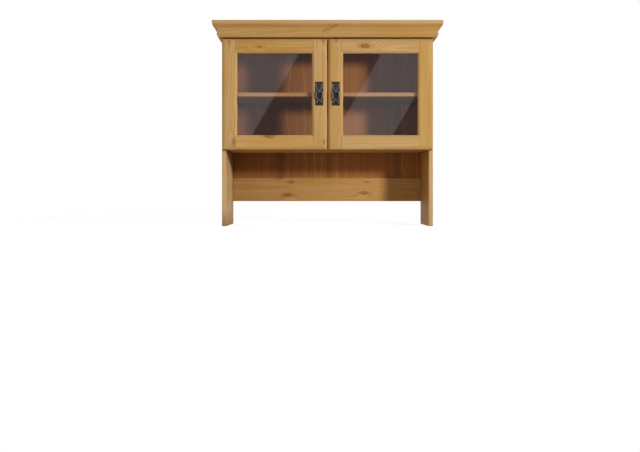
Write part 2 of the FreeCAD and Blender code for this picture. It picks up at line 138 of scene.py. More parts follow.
# Stained plywood: pale lines by place and strength; dark stripes by middle, half width, tone, foot
# and top
ply_ground = (0.395, 0.155, 0.045, 1)
ply_dark = (0.340, 0.131, 0.039, 1)
ply_line = (0.620, 0.335, 0.120, 1)
ply_fibre_scale = (12.0, 480.0, 1.0)
ply_band_scale = (0.7, 34.0, 0.0)
ply_left_tone = 0.87
ply_right_tone = 1.17
ply_tone_ends = (-0.24, 0.12)
ply_lines = (
    (-0.178, 0.9), (-0.104, 0.9), (-0.068, 0.7), (-0.046, 1.0), (-0.024, 1.0),
    (0.046, 0.9), (0.086, 0.4), (0.157, 0.3), (0.355, 0.9), (0.416, 0.7),
)
ply_line_half_width = 0.0042
ply_line_sway = 0.060
ply_line_share = 0.42
ply_stripes = (
    (-0.213, 0.034, 0.78, 0.00, 0.36),
    (-0.436, 0.016, 0.80, 0.00, 0.36),
    # Painted shade behind the doors' meeting gap, seen through it
    (0.004, 0.024, 0.58, 0.36, 0.90),
    (0.006, 0.014, 0.80, 0.00, 0.36),
    (0.320, 0.024, 0.74, 0.00, 0.90),
)
ply_stripe_fade = 0.04
ply_stripe_core = 0.3
ply_wear_share = 0.4
# The plywood's share of painted shade deep in its corners
ply_crevice_shade_share = 0.4
ply_bump = (0.0004, 0.3)

# Glass: share of the lamp's and of the even light that it lets through
glass_key_share = 0.93
glass_even_share = 0.80
glass_tint = (0.90, 0.89, 0.89, 1)
glass_index = 1.5

# Metals: bronze is rubbed where the relief is high, and most near the doors' meeting edges
bronze_dark = (0.024, 0.017, 0.013, 1)
bronze_worn = (0.250, 0.232, 0.210, 1)
bronze_metal = 0.8
bronze_arris_radius = 0.0006
bronze_arris_turn = (0.99, 0.80)
bronze_crest = (0.22, 0.62)
bronze_handled = (0.046, 0.022)
bronze_bump = (0.0003, 0.3)
zinc_light = (0.640, 0.640, 0.620, 1)
zinc_dark = (0.460, 0.460, 0.450, 1)
zinc_metal = 0.7
zinc_wear_share = 0.4
zinc_brushing = (240.0, 1800.0, 240.0)
zinc_bump = (0.0002, 0.2)

# Relief of the handle plates, in millimetres: across from the middle line, up from the centre
millimetre = 0.001
plate_rows = 137
plate_columns = 47
plate_outline_share = 0.94
plate_field = 1.4
plate_flat = 2.4
plate_flat_fade = 1.5
plate_crest = 4.2
plate_rim = 2.6
plate_rim_fade = 1.2
plate_rim_drop = 0.35
hammer_pitch = 0.45
hammer_depth = 0.22
plate_post = ((0, 9), 7.0)
plate_screws = ((0, 45), (0, -45))
plate_screw_reach = 4.2
plate_ribs = (
    (((2.5, 15), (9, 20), (13, 29), (12.5, 37), (8, 42)), 1.5, 1.9),
    (((0, 19), (4.5, 24), (5, 33), (0, 40)), 1.1, 1.3),
    (((2, -29), (6, -29), (9.5, -33), (12.5, -41)), 1.3, 1.5),
    (((6.5, 12), (11, 9), (13.5, 4)), 1.2, 1.3),
)
plate_bosses = (
    ((0, 29), (2.6, 8.5), 0.6),
    ((9.2, -33), (3.0, 3.4), 2.3),
)
plate_dish = ((0, -9), (12.0, 21.0), 0.5)

# Nails of the back and pins of the glass beads; a head's levels are shares of its radius and rise
head_corners = 12
head_levels = ((1.0, 0.0), (0.92, 0.55), (0.62, 0.95), (0.30, 0.92))
nail_radius = 0.0022
nail_rise = 0.0006
nail_spacing = 0.11
nail_inset = 0.0135
bead_pin_radius = 0.0009
bead_pin_rise = 0.0003
bead_pin_inset = 0.0025


class Tree:
    """Adds nodes to one shader tree; every input takes a plain value or another node's socket."""

    def __init__(self, tree):
        self.tree = tree

    def put(self, socket, value):
        if isinstance(value, bpy.types.NodeSocket):
            self.tree.links.new(value, socket)
        else:
            socket.default_value = value

    def add(self, kind, inputs=None, **settings):
        node = self.tree.nodes.new("ShaderNode" + kind)
        for name, value in settings.items():
            setattr(node, name, value)
        for name, value in (inputs or {}).items():
            self.put(node.inputs[name], value)
        return node

    def math(self, operation, *values):
        node = self.add("Math", operation=operation)
        for socket, value in zip(node.inputs, values):
            self.put(socket, value)
        return node.outputs[0]

    def vector(self, operation, *values):
        node = self.add("VectorMath", operation=operation)
        for socket, value in zip(node.inputs, values):
            self.put(socket, value)
        return node.outputs["Value" if operation in ("LENGTH", "DOT_PRODUCT") else "Vector"]

    def smooth(self, value, low, high):
        """0 at low and 1 at high, smooth between them."""
        ends = {"Value": value, "From Min": low, "From Max": high}
        return self.add("MapRange", ends, interpolation_type="SMOOTHSTEP").outputs["Result"]

    def mix(self, factor, first, second, blend="MIX"):
        node = self.add("Mix", data_type="RGBA", blend_type=blend)
        sockets = (node.inputs[0], node.inputs[6], node.inputs[7])
        for socket, value in zip(sockets, (factor, first, second)):
            self.put(socket, value)
        return node.outputs[2]

    def noise(self, vector, scale=1.0, detail=2.0):
        inputs = {"Vector": vector, "Scale": scale, "Detail": detail}
        return self.add("TexNoise", inputs).outputs["Fac"]

    def combine(self, x, y, z):
        return self.add("CombineXYZ", {"X": x, "Y": y, "Z": z}).outputs[0]

    def separate(self, vector):
        return self.add("SeparateXYZ", {"Vector": vector}).outputs

    def stretched(self, vector, x, y, z):
        return self.vector("MULTIPLY", vector, (x, y, z))


def new_group(name, inputs, outputs):
    """Empty node group: float inputs, apart from the vector Board, and the given outputs."""
    group = bpy.data.node_groups.new(name, "ShaderNodeTree")
    for label in inputs:
        kind = "NodeSocketVector" if label == "Board" else "NodeSocketFloat"
        group.interface.new_socket(name=label, in_out="INPUT", socket_type=kind)
    for label in outputs:
        kind = "NodeSocketColor" if label == "Colour" else "NodeSocketFloat"
        group.interface.new_socket(name=label, in_out="OUTPUT", socket_type=kind)
    given = group.nodes.new("NodeGroupInput").outputs
    result = group.nodes.new("NodeGroupOutput").inputs
    return group, Tree(group), given, result


def knot_group():
    """One knot through a board: its dark rim and pith, its stain, and how it bends the rings."""
    group, tree, given, result = new_group(
        "knot", ("Board", "Along", "Across", "Size"), ("Core", "Halo", "Bend"))
    along, across, _ = tree.separate(given["Board"])
    offset_along = tree.math("SUBTRACT", along, given["Along"])
    offset_across = tree.math("SUBTRACT", across, given["Across"])
    offset = tree.combine(offset_along, offset_across, given["Size"])
    wobble = tree.noise(offset, 190.0, 3.0)
    distance = tree.vector("LENGTH", tree.stretched(offset, knot_stretch, 1.0, 0.0))
    ragged = tree.math("MULTIPLY_ADD", wobble, 1.5, 0.25)
    share = tree.math("DIVIDE", tree.math("MULTIPLY", distance, ragged), given["Size"])
    torn = tree.math("MULTIPLY_ADD", tree.smooth(tree.noise(offset, 120.0), 0.38, 0.58), 0.5, 0.5)
    rim = tree.math("MULTIPLY", tree.smooth(share, 1.15, 0.95), tree.smooth(share, 0.30, 0.85))
    rim = tree.math("MULTIPLY", rim, torn)
    pith = tree.math("MULTIPLY", tree.smooth(share, 0.45, 0.12), 0.7)
    tree.put(result["Core"], tree.math("MAXIMUM", rim, pith))
    spread = tree.vector("LENGTH", tree.stretched(offset, halo_stretch, 1.0, 0.0))
    reach = tree.math("DIVIDE", spread, given["Size"])
    tree.put(result["Halo"], tree.smooth(reach, 1.7, 0.6))
    bend = tree.math("POWER", tree.smooth(reach, 4.5, 0.0), 1.5)
    push = tree.math("MULTIPLY", given["Size"], knot_bend)
    tree.put(result["Bend"], tree.math("MULTIPLY", bend, push))
    return group


def pine_group():
    """Sawn pine in board coordinates: X along the grain, Y across the face, Z into the board."""
    group, tree, given, result = new_group(
        "pine", ("Board", "Seed", "Stave", "Core", "Halo", "Bend"),
        ("Colour", "Roughness", "Height"))
    along, across, depth = tree.separate(given["Board"])
    stave = tree.math("FLOOR", tree.math("DIVIDE", across, given["Stave"]))
    shuffle = tree.add("TexWhiteNoise", {"Vector": tree.combine(stave, given["Seed"], 0.0)})
    chance = tree.separate(shuffle.outputs["Color"])
    middle = tree.math("MULTIPLY", tree.math("ADD", stave, 0.5), given["Stave"])
    local = tree.math("SUBTRACT", across, middle)
    place = tree.math("MULTIPLY_ADD", chance[0], 9.0, along)
    grain = tree.combine(place, across, depth)

    # Rings round a pith behind the board, which wanders along the tree
    wander = tree.noise(tree.combine(tree.math("MULTIPLY", place, 1.6), chance[1], given["Seed"]))
    pith_start = tree.math("MULTIPLY_ADD", chance[1], 0.08, -0.085)
    pith_side = tree.math("MULTIPLY_ADD", wander, 0.09, pith_start)
    pith_depth = tree.math("MULTIPLY_ADD", chance[2], 0.05, 0.025)
    tilt = tree.math("MULTIPLY", along, tree.math("MULTIPLY_ADD", chance[1], 0.05, -0.025))
    behind = tree.math("ADD", tree.math("ADD", depth, pith_depth), tilt)
    beside = tree.math("SUBTRACT", local, pith_side)
    radius = tree.vector("LENGTH", tree.combine(beside, behind, 0.0))
    waves = tree.noise(tree.stretched(grain, *wave_scale))
    radius = tree.math("ADD", tree.math("MULTIPLY_ADD", waves, 0.005, radius), given["Bend"])
    years = tree.noise(tree.combine(tree.math("MULTIPLY", radius, 70.0), given["Seed"], 0.0))
    count = tree.math("MULTIPLY", radius, rings_per_metre)
    ring = tree.math("FRACT", tree.math("MULTIPLY_ADD", years, 2.2, count))
    late = tree.math("MULTIPLY", tree.smooth(ring, 0.25, 0.86), tree.smooth(ring, 1.0, 0.93))

    fibre = tree.noise(tree.stretched(grain, *fibre_scale), 1.0, 3.0)
    fleck = tree.smooth(tree.noise(tree.stretched(grain, *fleck_scale), 1.0, 1.0), 0.68, 0.80)
    cloud = tree.smooth(tree.noise(tree.stretched(grain, *cloud_scale)), 0.38, 0.72)

    colour = tree.mix(tree.math("MULTIPLY", late, late_share), early_wood, late_wood)
    colour = tree.mix(tree.math("MULTIPLY", cloud, amber_share), colour, amber_wood)
    colour = tree.mix(tree.math("MULTIPLY", given["Halo"], halo_share), colour, knot_halo)
    colour = tree.mix(given["Core"], colour, knot_wood)
    colour = tree.mix(tree.math("MULTIPLY", fleck, fleck_share), colour, late_wood)
    value = tree.math("MULTIPLY_ADD", fibre, 0.26, 0.87)
    value = tree.math("MULTIPLY", value, tree.math("MULTIPLY_ADD", chance[0], 0.12, 0.94))
    tree.put(result["Colour"], tree.mix(1.0, colour, tree.combine(value, value, value), "MULTIPLY"))
    rough = tree.math("MULTIPLY_ADD", fibre, 0.16, tree.math("MULTIPLY_ADD", late, -0.08, 0.46))
    tree.put(result["Roughness"], rough)
    height = tree.math("MULTIPLY_ADD", late, 0.45, tree.math("MULTIPLY", fibre, 0.5))
    tree.put(result["Height"], tree.math("SUBTRACT", height, tree.math("MULTIPLY", fleck, 0.4)))
    return group


knot_pattern = knot_group()
pine_pattern = pine_group()


def new_material(name):
    """Material with one Principled shader, and the helper that adds to its tree."""
    material = bpy.data.materials.new(name)
    material.use_nodes = True
    shader = material.node_tree.nodes["Principled BSDF"]
    return material, Tree(material.node_tree), shader


def edge_mask(tree, radius=arris_radius, turn=arris_turn):
    """Rounded normal along the piece's arrises, and a mask that is 1 on them."""
    eased = tree.add("Bevel", {"Radius": radius}, samples=mask_samples).outputs["Normal"]
    flat = tree.add("NewGeometry").outputs["Normal"]
    return eased, tree.smooth(tree.vector("DOT_PRODUCT", eased, flat), *turn)


def painted_shade_mask(tree, reach, open_ends):
    """1 deep in the gaps and corners between pieces, where painted shade goes."""
    occlusion = tree.add("AmbientOcclusion", {"Distance": reach}, samples=mask_samples)
    return tree.smooth(occlusion.outputs["AO"], *open_ends)


def facing_share(tree, direction):
    """How far a face looks in a direction, whatever its bumps."""
    normal = tree.add("NewGeometry").outputs["True Normal"]
    return tree.vector("DOT_PRODUCT", normal, direction)


def bumped(tree, height, depth, strength, normal):
    inputs = {"Height": height, "Distance": depth, "Strength": strength, "Normal": normal}
    return tree.add("Bump", inputs).outputs["Normal"]


def board_axes(along, across):
    """Indices of the three axes in board order."""
    order = ["XYZ".index(along), "XYZ".index(across)]
    return order + [3 - sum(order)]


def board_position(tree, node, along, across):
    """Board coordinates of a piece, measured from the lowest corner of its box."""
    position = tree.add("TexCoord").outputs["Object"]
    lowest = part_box(node)[0]
    parts = tree.separate(tree.vector("SUBTRACT", position, tuple(lowest)))
    return tree.combine(*[parts[i] for i in board_axes(along, across)])


def knots_in(tree, board, lowest, axes, knots):
    """Core, halo and bend of a board's knots: each has a point, a radius and a darkness."""
    sums = {"Core": 0.0, "Halo": 0.0, "Bend": 0.0}
    for point, size, darkness in knots:
        knot = tree.add("Group", node_tree=knot_pattern)
        tree.put(knot.inputs["Board"], board)
        knot.inputs["Along"].default_value = point[axes[0]] - lowest[axes[0]]
        knot.inputs["Across"].default_value = point[axes[1]] - lowest[axes[1]]
        knot.inputs["Size"].default_value = size
        for label in sums:
            share = 1.0 if label == "Bend" else darkness
            sums[label] = tree.math("MULTIPLY_ADD", knot.outputs[label], share, sums[label])
    return sums


def streak_in(tree, board, start, end, half_width):
    """1 along a slanting resin streak from start to end, both in board coordinates."""
    run = end - start
    offset = tree.vector("SUBTRACT", board, tuple(start))
    forward = tree.vector("DOT_PRODUCT", offset, tuple(run.normalized()))
    aside = tree.vector("DOT_PRODUCT", offset, (-run.normalized().y, run.normalized().x, 0))
    ends = tree.math("MULTIPLY", tree.smooth(forward, 0, half_width),
                     tree.smooth(forward, run.length, run.length - half_width))
    return tree.math("MULTIPLY", ends, tree.smooth(tree.math("ABSOLUTE", aside), half_width, 0))


def seam_and_gap_shade_lines(tree, seams_and_gap_shade):
    """Dark lines at a distance from the middle plane, each with a width and a strength: the frame's
    joints, and painted shade along the doors' meeting gap.
    """
    sideways = tree.math("ABSOLUTE", tree.separate(tree.add("TexCoord").outputs["Object"])[0])
    mask = 0.0
    for place, width, strength in seams_and_gap_shade:
        distance = tree.math("ABSOLUTE", tree.math("SUBTRACT", sideways, place))
        line = tree.math("MULTIPLY", tree.smooth(distance, width, 0.0), strength)
        mask = tree.math("MAXIMUM", mask, line)
    return mask


def pine(node, along, across, seed, tints, knots=(), stave=None, seams_and_gap_shade=None, streak=None,
         face=None):
    """Waxed pine for one piece, tinted from one end of the board to the other, with painted shade
    in its gaps and corners.
    """
    material, tree, shader = new_material("pine_" + node)
    lowest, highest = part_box(node)
    axes = board_axes(along, across)
    board = board_position(tree, node, along, across)
    length = highest[axes[0]] - lowest[axes[0]]
    width = highest[axes[1]] - lowest[axes[1]]
    wood = tree.add("Group", node_tree=pine_pattern)
    tree.put(wood.inputs["Board"], board)
    tree.put(wood.inputs["Seed"], seed)
    tree.put(wood.inputs["Stave"], stave or width * whole_stave)
    for label, value in knots_in(tree, board, lowest, axes, knots).items():
        tree.put(wood.inputs[label], value)
    eased, on_arris = edge_mask(tree)
    share = tree.math("DIVIDE", tree.separate(board)[0], length)
    tint = tree.mix(share, tints[0] + (1,), tints[-1] + (1,))
    # Face tint; on the shelf's underside it is painted shade
    if face:
        direction, face_tint = face
        facing = tree.smooth(facing_share(tree, direction), *face_turn)
        tint = tree.mix(facing, tint, face_tint + (1,))
    colour = tree.mix(1.0, wood.outputs["Colour"], tint, "MULTIPLY")
    if streak:
        start, end = [Vector([point[i] - lowest[i] for i in axes[:2]] + [0]) for point in streak]
        resin = tree.mix(1.0, colour, streak_wood, "MULTIPLY")
        colour = tree.mix(streak_in(tree, board, start, end, streak_half_width), colour, resin)
    # Pale arrises: partly wear, partly painted highlight
    colour = tree.mix(tree.math("MULTIPLY", on_arris, arris_wear_and_highlight_share), colour, early_wood)
    # Painted shade deep in the gaps and corners between pieces
    darkening = tree.math("MULTIPLY", painted_shade_mask(tree, crevice_shade_reach, crevice_shade_open), crevice_shade_share)
    # Dark joints of the frame, and painted shade along the doors' meeting gap
    if seams_and_gap_shade:
        darkening = tree.math("MAXIMUM", darkening, seam_and_gap_shade_lines(tree, seams_and_gap_shade))
    # Painted shade where the left side's inner face is closed in by the pieces round it
    if node in shaded_recesses:
        recess_shade = painted_shade_mask(tree, recess_shade_reach, recess_shade_open)
        darkening = tree.math("MAXIMUM", darkening, tree.math("MULTIPLY", recess_shade, recess_shade_share))
    colour = tree.mix(darkening, colour, tree.mix(1.0, colour, seam_and_shade_dark, "MULTIPLY"))
    tree.put(shader.inputs["Base Color"], colour)
    rough = tree.math("MULTIPLY_ADD", on_arris, -0.08, wood.outputs["Roughness"])
    tree.put(shader.inputs["Roughness"], rough)
    shader.inputs["Specular IOR Level"].default_value = wood_gloss
    tree.put(shader.inputs["Normal"], bumped(tree, wood.outputs["Height"], *pine_bump, eased))
    return material


def veneer_line(tree, across, along, place, strength):
    """One hard ring of the veneer: a pale line that sways along the grain."""
    sway = tree.noise(tree.combine(along, place * 40, 0.0), 6.5, 1.0)
    path = tree.math("MULTIPLY_ADD", tree.math("SUBTRACT", sway, 0.5), ply_line_sway, place)
    offset = tree.math("ABSOLUTE", tree.math("SUBTRACT", across, path))
    return tree.math("MULTIPLY", tree.smooth(offset, ply_line_half_width, 0.0), strength)


def stained_ply(node):
    """Rotary-cut veneer with a red-brown stain that its hard rings take less of, with painted shade
    in its corners and behind the doors' meeting gap.
    """
    material, tree, shader = new_material("stained_ply")
    board = board_position(tree, node, "Z", "X")
    along, across, _ = tree.separate(board)
    centred = tree.math("ADD", across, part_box(node)[0].x)
    line = 0.0
    for place, strength in ply_lines:
        line = tree.math("ADD", line, veneer_line(tree, centred, along, place, strength))
    fibre = tree.noise(tree.stretched(board, *ply_fibre_scale), 1.0, 3.0)
    bands = tree.noise(tree.stretched(board, *ply_band_scale), 1.0, 2.0)
    colour = tree.mix(tree.smooth(bands, 0.34, 0.68), ply_ground, ply_dark)
    colour = tree.mix(tree.math("MULTIPLY", line, ply_line_share), colour, ply_line)
    tone = tree.math("MULTIPLY_ADD", tree.smooth(centred, *ply_tone_ends),
                     ply_right_tone - ply_left_tone, ply_left_tone)
    height = tree.separate(tree.add("TexCoord").outputs["Object"])[2]
    inside = tree.math("MAXIMUM", facing_share(tree, (0, -1, 0)), 0.0)
    # Dark stripes; the middle one above the niche is painted shade behind the doors' meeting gap
    for middle, half_width, depth, foot, top in ply_stripes:
        offset = tree.math("ABSOLUTE", tree.math("SUBTRACT", centred, middle))
        reach = tree.math("MULTIPLY", tree.smooth(height, foot - ply_stripe_fade, foot),
                          tree.smooth(height, top, top - ply_stripe_fade))
        band = tree.smooth(offset, half_width, half_width * ply_stripe_core)
        stripe = tree.math("MULTIPLY", tree.math("MULTIPLY", band, inside), reach)
        tone = tree.math("MULTIPLY", tone, tree.math("MULTIPLY_ADD", stripe, depth - 1, 1.0))
    value = tree.math("MULTIPLY", tone, tree.math("MULTIPLY_ADD", fibre, 0.3, 0.85))
    colour = tree.mix(1.0, colour, tree.combine(value, value, value), "MULTIPLY")
    eased, on_arris = edge_mask(tree)
    colour = tree.mix(tree.math("MULTIPLY", on_arris, ply_wear_share), colour, late_wood)
    # Painted shade deep in the plywood's corners
    darkening = tree.math("MULTIPLY", painted_shade_mask(tree, crevice_shade_reach, crevice_shade_open), ply_crevice_shade_share)
    colour = tree.mix(darkening, colour, tree.mix(1.0, colour, seam_and_shade_dark, "MULTIPLY"))
    tree.put(shader.inputs["Base Color"], colour)
    tree.put(shader.inputs["Roughness"], tree.math("MULTIPLY_ADD", fibre, 0.2, 0.46))
    shader.inputs["Specular IOR Level"].default_value = wood_gloss
    raised = tree.math("MULTIPLY_ADD", line, 0.3, fibre)
    tree.put(shader.inputs["Normal"], bumped(tree, raised, *ply_bump, eased))
    return material


def bronze(name, polish):
    """Cast bronze with a dark patina, rubbed pale on its high spots, and all over by polish."""
    material, tree, shader = new_material(name)
    position = tree.add("TexCoord").outputs["Object"]
    pits = tree.noise(position, 900.0, 4.0)
    patches = tree.noise(position, 170.0, 3.0)
    eased, edge = edge_mask(tree, bronze_arris_radius, bronze_arris_turn)
    relief = tree.add("Attribute", attribute_name="relief").outputs["Fac"]
    crest = tree.smooth(relief, *bronze_crest)
    sideways = tree.math("ABSOLUTE", tree.separate(position)[0])
    handled = tree.math("MULTIPLY_ADD", tree.smooth(sideways, *bronze_handled), 0.35, 0.65)
    high = tree.math("MAXIMUM", crest, tree.math("MULTIPLY", edge, 0.4))
    bare = tree.math("MAXIMUM", tree.math("MULTIPLY", high, handled), polish)
    patchy = tree.math("MULTIPLY_ADD", tree.smooth(patches, 0.25, 0.60), 0.5, 0.5)
    rubbed = tree.math("MULTIPLY", bare, patchy)
    tree.put(shader.inputs["Base Color"], tree.mix(rubbed, bronze_dark, bronze_worn))
    shader.inputs["Metallic"].default_value = bronze_metal
    tarnish = tree.math("MULTIPLY_ADD", pits, 0.2, 0.42)
    tree.put(shader.inputs["Roughness"], tree.math("MULTIPLY_ADD", rubbed, -0.15, tarnish))
    tree.put(shader.inputs["Normal"], bumped(tree, pits, *bronze_bump, eased))
    return material


def zinc():
    """Zinc-plated steel with faint brushing and cloudy passivation."""
    material, tree, shader = new_material("zinc_plate")
    position = tree.add("TexCoord").outputs["Object"]
    brushed = tree.noise(tree.stretched(position, *zinc_brushing), 1.0, 2.0)
    cloud = tree.noise(position, 130.0, 3.0)
    eased, on_arris = edge_mask(tree)
    colour = tree.mix(tree.smooth(cloud, 0.35, 0.7), zinc_light, zinc_dark)
    colour = tree.mix(tree.math("MULTIPLY", on_arris, zinc_wear_share), colour, zinc_light)
    tree.put(shader.inputs["Base Color"], colour)
    shader.inputs["Metallic"].default_value = zinc_metal
    tree.put(shader.inputs["Roughness"], tree.math("MULTIPLY_ADD", brushed, 0.25, 0.22))
    tree.put(shader.inputs["Normal"], bumped(tree, brushed, *zinc_bump, eased))
    return material


def clear_glass():
    """Float glass that lets the light on the object through."""
    material, tree, shader = new_material("float_glass")
    shader.inputs["Base Color"].default_value = glass_tint
    shader.inputs["Roughness"].default_value = 0.0
    shader.inputs["IOR"].default_value = glass_index
    shader.inputs["Transmission Weight"].default_value = 1.0
    path = tree.add("LightPath").outputs
    passing = tree.math("MAXIMUM", path["Is Shadow Ray"], path["Is Diffuse Ray"])
    clear = tree.math("MULTIPLY_ADD", path["Is Diffuse Ray"],
                      glass_even_share - glass_key_share, glass_key_share)
    through = tree.add("BsdfTransparent", {"Color": tree.combine(clear, clear, clear)})
    mixed = tree.add("MixShader", {"Fac": passing})
    tree.put(mixed.inputs[1], shader.outputs[0])
    tree.put(mixed.inputs[2], through.outputs[0])
    tree.put(material.node_tree.nodes["Material Output"].inputs["Surface"], mixed.outputs[0])
    return material


def dress(node, material):
    """Give one piece of the frame its material."""
    slots = nodes[node].data.materials
    slots.clear()
    slots.append(material)


# Knots: a point of the board's face in metres, the knot's radius, and how dark its core is
knots_of = {
    "right_top_rail": [((0.1587, 0, 0.764), 0.0085, 1.0)],
    "left_top_rail": [((-0.288, 0, 0.7606), 0.0045, 0.8)],
    "left_bottom_rail": [((-0.2436, 0, 0.382), 0.0080, 0.8), ((-0.262, 0, 0.383), 0.0045, 0.6)],
    "left_hinge_stile": [((-0.398, 0, 0.3575), 0.0065, 0.7), ((-0.417, 0, 0.777), 0.0060, 0.5)],
    "left_lock_stile": [((-0.0149, 0, 0.3575), 0.0040, 0.7), ((-0.016, 0, 0.789), 0.0055, 0.6)],
    "right_lock_stile": [((0.0359, 0, 0.789), 0.0040, 0.7)],
    "back_rail": [((-0.1653, 0, 0.192), 0.0060, 0.9), ((-0.179, 0, 0.132), 0.0085, 0.9),
                  ((0.1703, 0, 0.1414), 0.0075, 0.9), ((0.1841, 0, 0.192), 0.0045, 0.8),
                  ((-0.2205, 0, 0.208), 0.0065, 0.6)],
    "left_side_panel": [((0, 0.06, 0.62), 0.0110, 0.9), ((0, -0.05, 0.24), 0.0080, 0.9)],
    "right_side_panel": [((0, 0.02, 0.44), 0.0100, 0.9), ((0, 0.11, 0.71), 0.0075, 0.9)],
    "top_board": [((0.21, 0.03, 0), 0.0110, 0.9), ((-0.30, -0.08, 0), 0.0085, 0.9)],
    "shelf": [((0.12, 0.05, 0), 0.0090, 0.9)],
    "bottom_panel": [((-0.17, 0.02, 0), 0.0100, 0.9)],
}

# Each pine piece: axis along the grain, axis across its face, and the tints at its two ends
grain_of = {
    "left_side_panel": ("Z", "Y", [(0.92, 0.99, 1.18)]),
    "right_side_panel": ("Z", "Y", [(1.04, 0.90, 0.70)]),
    "top_board": ("X", "Y", [(0.99, 1.02, 1.08), (0.985, 1.06, 1.24)]),
    "bottom_panel": ("X", "Y", [(0.96, 0.86, 0.68)]),
    "shelf": ("X", "Y", [(1.01, 0.90, 0.97)]),
    "back_rail": ("X", "Z", [(0.66, 0.60, 0.50), (1.00, 0.93, 0.84)]),
    "top_front_rail": ("X", "Z", [(0.98, 0.96, 0.90)]),
    "frieze_rail": ("X", "Z", [(1.02, 0.90, 0.55)]),
    "cornice_front": ("X", "Z", [(0.93, 0.90, 0.79)]),
    "cornice_left": ("Y", "Z", [(1.0, 0.97, 0.88)]),
    "cornice_right": ("Y", "Z", [(1.0, 0.97, 0.88)]),
    "left_hinge_stile": ("Z", "X", [(1.0, 1.0, 0.98)]),
    "left_lock_stile": ("Z", "X", [(1.02, 1.03, 1.08)]),
    "left_top_rail": ("X", "Z", [(0.97, 0.92, 0.76)]),
    "left_bottom_rail": ("X", "Z", [(1.05, 1.03, 0.93)]),
    "left_glass_beads": ("X", "Z", [(1.0, 0.98, 0.92)]),
    "right_hinge_stile": ("Z", "X", [(0.92, 0.92, 0.78)]),
    "right_lock_stile": ("Z", "X", [(0.98, 0.97, 0.92)]),
    "right_top_rail": ("X", "Z", [(1.0, 1.02, 1.08)]),
    "right_bottom_rail": ("X", "Z", [(1.04, 1.07, 1.12)]),
    "right_glass_beads": ("X", "Z", [(1.0, 0.98, 0.92)]),
}

# Faces with a tint of their own: the pale front edges of the sides, and painted shade on the
# shelf's underside
faces_of = {
    "left_side_panel": ((0, -1, 0), (1.07, 1.12, 1.34)),
    "right_side_panel": ((0, -1, 0), (1.01, 1.05, 1.26)),
    "shelf": ((0, 0, -1), (0.55, 0.45, 0.50)),
}

# Resin streaks from point to point, painted shade in the left side's recess, boards glued up from
# staves, seams in the doors' frames and painted shade along the doors' meeting gap
streaks_of = {"cornice_front": ((-0.026, 0, 0.820), (0.046, 0, 0.852))}
shaded_recesses = ("left_side_panel",)
glued_boards = ("left_side_panel", "right_side_panel", "top_board", "bottom_panel", "shelf")
frame_rails = ("left_top_rail", "left_bottom_rail", "right_top_rail", "right_bottom_rail")
frame_joints = (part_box("right_lock_stile")[1].x - sticking_width,
                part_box("right_hinge_stile")[0].x + sticking_width)
rail_seams = [(place, seam_width, seam_share) for place in frame_joints]
seams_and_gap_shade_of = {rail: rail_seams for rail in frame_rails}
# Painted shade along the right door's edge at the doors' meeting gap
seams_and_gap_shade_of["right_lock_stile"] = [(0.0, gap_shade_width, gap_shade_share)]

for seed, (node, (along, across, tints)) in enumerate(grain_of.items(), 1):
    stave = stave_width if node in glued_boards else None
    dress(node, pine(node, along, across, seed * seed_step, tints, knots_of.get(node, ()), stave,
                     seams_and_gap_shade_of.get(node), streaks_of.get(node), faces_of.get(node)))

dress("back_panel", stained_ply("back_panel"))

glass_finish = clear_glass()
bronze_finish = bronze("antique_bronze", 0.0)
rubbed_bronze = bronze("rubbed_bronze", 0.5)
zinc_finish = zinc()
hinge_pieces = ("hinge_arms", "hinge_screws", "hinge_housings", "hinge_pins", "housing_screws")
for side in ("left_", "right_"):
    dress(side + "glass", glass_finish)
    for piece in ("handle_plate", "handle_screws"):
        dress(side + piece, bronze_finish)
    for piece in ("handle_post", "handle_ring"):
        dress(side + piece, rubbed_bronze)
    for piece in (*hinge_pieces, "strike_plate"):
        dress(side + piece, zinc_finish)
for piece in ("shelf_pins", "catch_magnets"):
    dress(piece, zinc_finish)


# Cast relief of the handle plates

def smooth_curve(points, steps=12):
    """Catmull-Rom curve through the points."""
    padded = np.array([points[0], *points, points[-1]], float)
    t = np.linspace(0, 1, steps, endpoint=False)[:, None]
    runs = []
    for a, b, c, d in zip(padded, padded[1:], padded[2:], padded[3:]):
        square = 2 * a - 5 * b + 4 * c - d
        cube = 3 * b - a - 3 * c + d
        runs.append(0.5 * (2 * b + (c - a) * t + square * t ** 2 + cube * t ** 3))
    return np.vstack(runs + [padded[-1:]])


def rib(u, v, points, width, height):
    """Rounded rib along a smooth curve, the same on both halves of the plate."""
    curve = smooth_curve(points)
    distance = np.hypot(np.abs(u)[:, None] - curve[:, 0], v[:, None] - curve[:, 1]).min(axis=1)
    return height * np.exp(-(distance / width) ** 2)


def boss(u, v, centre, reach, height):
    """Rounded boss on an ellipse, the same on both halves of the plate."""
    share = ((np.abs(u) - centre[0]) / reach[0]) ** 2 + ((v - centre[1]) / reach[1]) ** 2
    return height * np.sqrt(np.clip(1 - share, 0, 1))


def relief_height(u, v, edge):
    """Height of the casting over the door, in millimetres, at a distance from its outline."""
    height = plate_field - boss(u, v, *plate_dish)
    height += np.max([rib(u, v, *shape) for shape in plate_ribs], axis=0)
    height += np.max([boss(u, v, *shape) for shape in plate_bosses], axis=0)
    hammered = [noise.noise((a * hammer_pitch, b * hammer_pitch, 0.0)) for a, b in zip(u, v)]
    height += hammer_depth * np.array(hammered)
    rim = np.clip((plate_rim - edge) / plate_rim_fade, 0, 1)
    rim_height = plate_flat - plate_rim_drop * np.clip(1 - edge, 0, 1)
    height = height * (1 - rim) + rim_height * rim
    flats = [plate_post] + [(centre, plate_screw_reach) for centre in plate_screws]
    for centre, reach in flats:
        distance = np.hypot(u - centre[0], v - centre[1])
        near = np.clip((reach - distance) / plate_flat_fade, 0, 1)
        height = height * (1 - near) + plate_flat * near
    return np.minimum(height, plate_crest)


